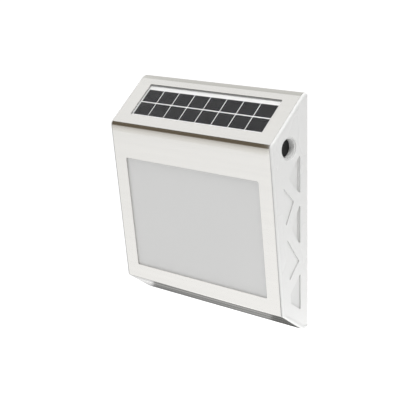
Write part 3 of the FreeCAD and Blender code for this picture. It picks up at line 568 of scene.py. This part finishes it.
def cell_filler():
    """White filler of the laminate, flush with the cells, in the gaps between them."""
    block_half = 0.0717
    block_low = 0.0137
    block_high = slope_length - 0.0143
    columns = 8
    column_gap = 0.00065
    row_gap = 0.0010
    ribbon_width = 0.0005
    outer_depth = 0.00141
    thickness = 0.00019
    column_pitch = (2 * block_half + column_gap) / columns
    row_height = (block_high - block_low - row_gap) / 2
    middle = block_low + row_height + row_gap / 2
    strips = []
    for count in range(1, columns):
        x = count * column_pitch - block_half
        strips.append((x - column_gap, x, block_low, block_low + row_height))
        strips.append((x - column_gap, x, block_high - row_height, block_high))
    strips.append((-block_half, block_half, middle - row_gap / 2, middle - ribbon_width / 2))
    strips.append((-block_half, block_half, middle + ribbon_width / 2, middle + row_gap / 2))
    mesh = bmesh.new()
    for left, right, low, high in strips:
        places = ((left, low), (right, low), (right, high), (left, high))
        corners = [mesh.verts.new(on_slope(x, along, outer_depth)) for x, along in places]
        thickened(mesh, [mesh.faces.new(corners)], thickness)
    housing_piece("solar_cell_filler", mesh, laminate)


gasket_lip_shadow()
cell_filler()


# End caps
# Two white ABS mouldings close the wrap. Each has a rounded rim and a truss relief on its side.
# Their spigots slide into the wrap, and the back screws pull them against the housing.

def cap_material():
    """Gloss white plastic. Painted shade darkens its corners, the recessed surfaces low on its side and
    the walls that face forward in its lower part, and a painted highlight lightens the rounded rim."""
    cap_white = (0.87, 0.87, 0.86)
    face_x = 0.0893
    corner_reach = 0.003
    # Levels of painted shade in corners, low recesses and forward walls, and of the painted highlight on
    # the rim.
    corner_shade = 0.90
    recess_shade = 0.83
    deep_wall_shade = 0.98
    shallow_wall_shade = 0.83
    painted_sheen = 1.08
    material = moulded_plastic("cap_plastic", cap_white, gloss=0.26, grain=1600.0, relief=0.1)
    tree = material.node_tree
    place = object_place(tree)
    away = calculated(tree, "ABSOLUTE", split(tree, place, "X"))
    height = split(tree, place, "Z")
    normal = add_node(tree, "ShaderNodeNewGeometry").outputs["Normal"]
    sideways = calculated(tree, "ABSOLUTE", split(tree, normal, "X"))
    backward = split(tree, normal, "Y")
    # Ambient occlusion paints shade into corners and seams.
    corner = add_node(tree, "ShaderNodeAmbientOcclusion", samples=12)
    corner.inputs["Distance"].default_value = corner_reach
    corner_shading = ranged(tree, corner.outputs["AO"], (0.3, 1.0), (corner_shade, 1.0))
    # Painted shade on the recessed surfaces low on the side.
    low_floor = ranged(tree, height, (-0.125, -0.085), (recess_shade, 1.0))
    sunk = ranged(tree, away, (face_x - 0.0006, face_x), (low_floor, 1.0))
    # Painted shade on walls that face forward in the lower part, and a painted highlight on the rounded
    # rim.
    forward_shade = ranged(tree, away, (face_x - 0.002, face_x - 0.0005), (deep_wall_shade, shallow_wall_shade))
    lower_forward_shade = ranged(tree, height, (0.001, 0.004), (forward_shade, 1.0))
    forward = ranged(tree, backward, (-0.9, -0.4), (lower_forward_shade, painted_sheen))
    rounded = ranged(tree, backward, (-0.3, -0.1), (painted_sheen, 1.0))
    walls = ranged(tree, sideways, (0.2, 0.4), (forward, rounded))
    white = tree.nodes["Mix"]
    tone = white.inputs["B"].links[0].from_socket
    # The painted shade and highlight are multiplied into the white.
    for shading in (corner_shading, sunk, walls):
        tone = calculated(tree, "MULTIPLY", tone, shading)
    tree.links.new(tone, white.inputs["B"])
    return material


dress(cap_material(), "left_end_cap", "right_end_cap")


# Switch
# A black domed button at the bottom of the round well pushes the plunger of a switch against a wire spring.
# Button and plunger are moulded, and a flange behind the lip keeps the button in.

button_black = (0.006, 0.006, 0.006)
switch_grey = (0.03, 0.03, 0.032)
button_plastic = moulded_plastic("button_plastic", button_black, gloss=0.32, grain=1600.0, relief=0.1)
button_plastic.node_tree.nodes["Principled BSDF"].inputs["Specular IOR Level"].default_value = 0.2
switch_plastic = moulded_plastic("switch_plastic", switch_grey, gloss=0.45, grain=1600.0, relief=0.1)
dress(button_plastic, "switch_button")
dress(switch_plastic, "switch_body", "switch_plunger")


def return_spring():
    """Wire spring under the plunger, wound as a fixed coil between the switch floor and the plunger."""
    axis_y = -0.0245
    axis_z = 0.0138
    floor_x = 0.0660
    plunger_x = 0.0695
    coil_radius = 0.001725
    wire_radius = 0.000175
    turns = 3
    steps = 32 * turns
    length = plunger_x - floor_x
    rise = (length - 2 * wire_radius) / steps
    mesh = bmesh.new()
    start = Matrix.Translation((floor_x + wire_radius, axis_y + coil_radius, axis_z))
    ring = bmesh.ops.create_circle(
        mesh, cap_ends=True, segments=10, radius=wire_radius, matrix=start)["verts"]
    edges = list({edge for point in ring for edge in point.link_edges})
    wound = bmesh.ops.spin(
        mesh, geom=ring + edges, cent=(0, axis_y, axis_z), axis=(1, 0, 0), dvec=(rise, 0, 0),
        angle=2 * math.pi * turns, steps=steps)["geom_last"]
    last_ring = [part for part in wound if isinstance(part, bmesh.types.BMEdge)]
    bmesh.ops.contextual_create(mesh, geom=last_ring)
    spring = housing_piece("return_spring", mesh, spring_wire)
    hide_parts("switch_spring")
    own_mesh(spring)


return_spring()


# Floor and surround
# A plain sheet of pale paper lies well below the hung light, and the room round it is white.
# The camera sees both as white and the steel sees them pale, while plain light falls on the object.

def floor_material():
    """Pale paper that is white to the camera, pale in reflections, and still takes a shadow."""
    paper_white = (0.87, 0.87, 0.87)
    mirrored_glow = 0.40
    seen_glow = 0.55
    material, tree, shader = start_material("floor_paper")
    fibre = noise_at(tree, object_place(tree), scale=40.0, detail=3.0)
    tree.links.new(tinted(tree, paper_white, spread(tree, fibre, 0.98, 1.0)), shader.inputs["Base Color"])
    shader.inputs["Roughness"].default_value = 0.9
    path = add_node(tree, "ShaderNodeLightPath")
    mirrored = ranged(tree, path.outputs["Is Glossy Ray"], (0.0, 1.0), (0.0, mirrored_glow))
    glow = ranged(tree, path.outputs["Is Camera Ray"], (0.0, 1.0), (mirrored, seen_glow))
    shader.inputs["Emission Color"].default_value = (1, 1, 1, 1)
    tree.links.new(glow, shader.inputs["Emission Strength"])
    return material


floor_size = 12.0
floor_drop = 0.30
floor_mesh = bmesh.new()
bmesh.ops.create_grid(floor_mesh, x_segments=1, y_segments=1, size=floor_size / 2)
bmesh.ops.translate(floor_mesh, vec=(0, 0, cad_box[0][2] - floor_drop), verts=floor_mesh.verts)
finished_piece("floor", floor_mesh, floor_material())

world = bpy.data.worlds.new("studio")
bpy.context.scene.world = world
world.use_nodes = True
room = world.node_tree
sky = room.nodes["Background"]
sky.inputs["Color"].default_value = (1, 1, 1, 1)
toward = add_node(room, "ShaderNodeTexCoord").outputs["Generated"]
front_level = ranged(room, split(room, toward, "Y"), (-1.0, 0.0), (0.49, 0.695))
right_share = ranged(room, split(room, toward, "X"), (0.2, 0.8), (1.0, 0.82))
room_level = calculated(room, "MULTIPLY", front_level, right_share)
path = add_node(room, "ShaderNodeLightPath")
seen = path.outputs["Is Camera Ray"]
for ray in ("Is Glossy Ray", "Is Transmission Ray"):
    seen = calculated(room, "MAXIMUM", seen, path.outputs[ray])
room.links.new(ranged(room, seen, (0.0, 1.0), (room_level, 1.0)), sky.inputs["Strength"])


# Cards
# Bent sheets of grey card stand outside the view, and only the steel and other gloss surfaces see them.
# They give the bend under the slope its dark band and the underside its grey.

def arc_card(name, x_range, centre, radius, angles, colour, uneven):
    """Sheet bent round the X axis between two angles up from the front, seen only in reflections."""
    mesh = bmesh.new()
    low, high = [math.radians(angle) for angle in angles]
    y = centre[0] - radius * math.cos(low)
    z = centre[1] + radius * math.sin(low)
    ends = [mesh.verts.new((x, y, z)) for x in x_range]
    edge = mesh.edges.new(ends)
    bmesh.ops.spin(mesh, geom=ends + [edge], cent=(0, *centre), axis=(-1, 0, 0), angle=high - low, steps=24)
    material, tree, shader = start_material(name)
    shader.inputs["Base Color"].default_value = (0, 0, 0, 1)
    shader.inputs["Roughness"].default_value = 1.0
    shader.inputs["Specular IOR Level"].default_value = 0.0
    streaks = noise_at(tree, object_place(tree), scale=45.0, detail=2.0, stretch=(0.03, 1, 1))
    tree.links.new(tinted(tree, colour, spread(tree, streaks, *uneven)), shader.inputs["Emission Color"])
    shader.inputs["Emission Strength"].default_value = 1.0
    card = finished_piece(name, mesh, material)
    card.visible_camera = False
    card.visible_diffuse = False
    card.visible_transmission = False
    card.visible_shadow = False


brow_line = (-0.0465, 0.018)
brow_reach = (-0.6, 0.0625)
brow_radius = 0.035
foot_line = (-0.02, -0.135)
foot_radius = 0.27
foot_angles = (-156, -112)
foot_grey = (0.43, 0.43, 0.425)
shade_grey = (0.20, 0.20, 0.195)
shade_start = -0.128
even = (0.9, 1.1)
mottled = (0.7, 1.3)
streaky = (0.5, 1.5)
arc_card("brow_card", brow_reach, brow_line, brow_radius, (-12, 66), (0.128, 0.106, 0.077), streaky)
arc_card("brow_fade", brow_reach, brow_line, brow_radius, (-29, -12), (0.56, 0.54, 0.51), even)
arc_card("brow_haze", brow_reach, brow_line, brow_radius, (-34, -29), (0.82, 0.805, 0.78), even)
arc_card("top_card", (-0.84, 0.4), brow_line, 0.8, (94, 172), (0.70, 0.70, 0.68), even)
arc_card("foot_card", (-0.316, shade_start), foot_line, foot_radius, foot_angles, foot_grey, mottled)
arc_card("foot_shade", (shade_start, 0.1), foot_line, foot_radius, foot_angles, shade_grey, mottled)
arc_card("back_card", (-0.5, 0.1), foot_line, 0.5, (-200, -155), (0.12, 0.12, 0.115), (0.8, 1.2))


# Lamps
# A large soft lamp hangs over the front, a smaller one high on the right lights the side,
# and a weak one low on the right lifts the foot of the end cap. Reflections leave them out.

def soft_lamp(name, size, power, place, aim):
    """Square lamp turned to a point."""
    data = bpy.data.lights.new(name, "AREA")
    data.shape = "SQUARE"
    data.size = size
    data.energy = power
    lamp = bpy.data.objects.new(name, data)
    bpy.context.scene.collection.objects.link(lamp)
    turn = (Vector(place) - Vector(aim)).to_track_quat("Z", "Y").to_matrix().to_4x4()
    lamp.matrix_world = Matrix.Translation(place) @ turn
    lamp.visible_camera = False
    lamp.visible_glossy = False


soft_lamp("top_lamp", size=0.5, power=2.8, place=(-0.2, -0.5, 1.2), aim=(0, 0, 0))
soft_lamp("side_lamp", size=0.35, power=3.0, place=(0.45, -0.10, 0.85), aim=(0.09, -0.02, 0))
soft_lamp("foot_lamp", size=0.15, power=0.26, place=(0.24, -0.03, -0.30), aim=(0.09, -0.02, -0.12))


# Camera
# It stands right of the light and a little above it, as in the photograph, at a long lens.
# Its place and turn are those that put the corners of the wrap where the photograph has them.

camera_place = Vector((0.61697, -0.70769, 0.20193))
camera_azimuth = math.radians(42.408)
camera_elevation = math.radians(14.835)
camera_roll = math.radians(-1.498)
camera_lens = 100.54
sensor_width = 36.0

back = Vector((
    math.sin(camera_azimuth) * math.cos(camera_elevation),
    -math.cos(camera_azimuth) * math.cos(camera_elevation),
    math.sin(camera_elevation),
))
level = Vector((math.cos(camera_azimuth), math.sin(camera_azimuth), 0))
upright = back.cross(level)
right = level * math.cos(camera_roll) + upright * math.sin(camera_roll)
up = upright * math.cos(camera_roll) - level * math.sin(camera_roll)
camera_data = bpy.data.cameras.new("camera")
camera_data.lens = camera_lens
camera_data.sensor_width = sensor_width
camera = bpy.data.objects.new("camera", camera_data)
bpy.context.scene.collection.objects.link(camera)
camera.matrix_world = Matrix.Translation(camera_place) @ Matrix((right, up, back)).transposed().to_4x4()
bpy.context.scene.camera = camera
bpy.context.scene.view_settings.view_transform = "Standard"
